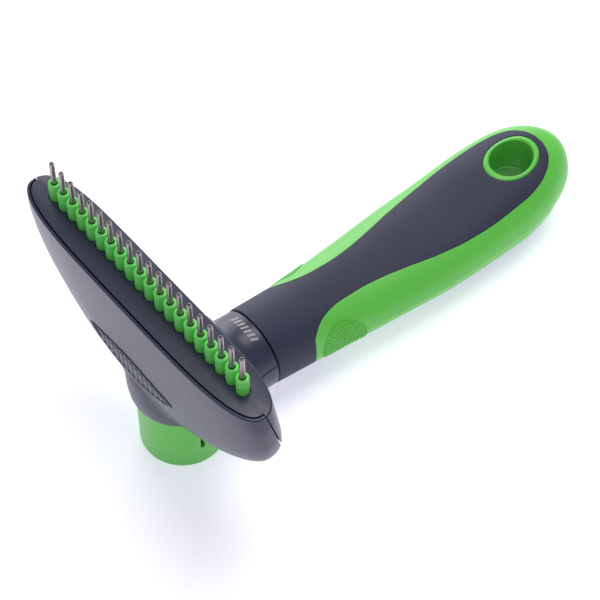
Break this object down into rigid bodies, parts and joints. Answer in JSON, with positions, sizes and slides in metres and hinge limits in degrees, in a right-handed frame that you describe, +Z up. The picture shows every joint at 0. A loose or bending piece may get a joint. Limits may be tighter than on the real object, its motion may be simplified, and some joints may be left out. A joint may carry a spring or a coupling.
{
  "type": "deshedding tool",
  "caption": "Self-cleaning pet deshedding rake: slate plastic head with a row of steel pins in green ejector sleeves, green push button underneath, slate and green handle with a hanging hole",
  "frame": {"origin": "centre of the bounding box in x and y, at the level the button and the handle's end stand on", "axes": "+Z up, the way the pins point; +Y from the head along the handle; +X along the row of pins"},
  "size_m": [0.108, 0.1743, 0.0961],
  "materials": {
    "slate_plastic": "satin slate-grey moulded plastic",
    "slate_rubber": "soft-touch slate-grey grip overmould",
    "green_plastic": "semi-gloss apple-green moulded plastic",
    "natural_plastic": "natural off-white plastic, inside the tool",
    "black_plastic": "black joint ring",
    "steel": "polished stainless steel"
  },
  "bodies": {
    "tool_body": {"front_shell": "slate_plastic", "rear_shell": "slate_plastic", "front_badge": "slate_plastic", "pin_01": "steel", "pin_02": "steel", "pin_03": "steel", "pin_04": "steel", "pin_05": "steel", "pin_06": "steel", "pin_07": "steel", "pin_08": "steel", "pin_09": "steel", "pin_10": "steel", "pin_11": "steel", "pin_12": "steel", "pin_13": "steel", "pin_14": "steel", "pin_15": "steel", "pin_16": "steel", "pin_17": "steel", "pin_18": "steel", "pin_19": "steel", "pin_20": "steel", "pin_carrier": "natural_plastic", "carrier_screw_l": "steel", "carrier_screw_r": "steel", "spring_seat": "natural_plastic", "button_spring": "steel", "grip_overmould": "slate_rubber", "handle_core_upper": "green_plastic", "handle_core_lower": "green_plastic", "hang_ring": "green_plastic", "tang": "steel", "tang_pin": "steel", "collar_ring": "black_plastic"},
    "button_slider": {"push_button": "green_plastic", "push_yoke": "natural_plastic", "yoke_screw_l": "steel", "yoke_screw_r": "steel", "ejector_comb": "green_plastic"}
  },
  "joints": [
    {"name": "button_press", "type": "slide", "parent": "tool_body", "child": "button_slider", "axis": [0, 0, 1], "range_m": [0, 0.0085], "stiffness_N_per_m": 500, "springref_m": -0.008, "deforming": ["button_spring"]}
  ]
}
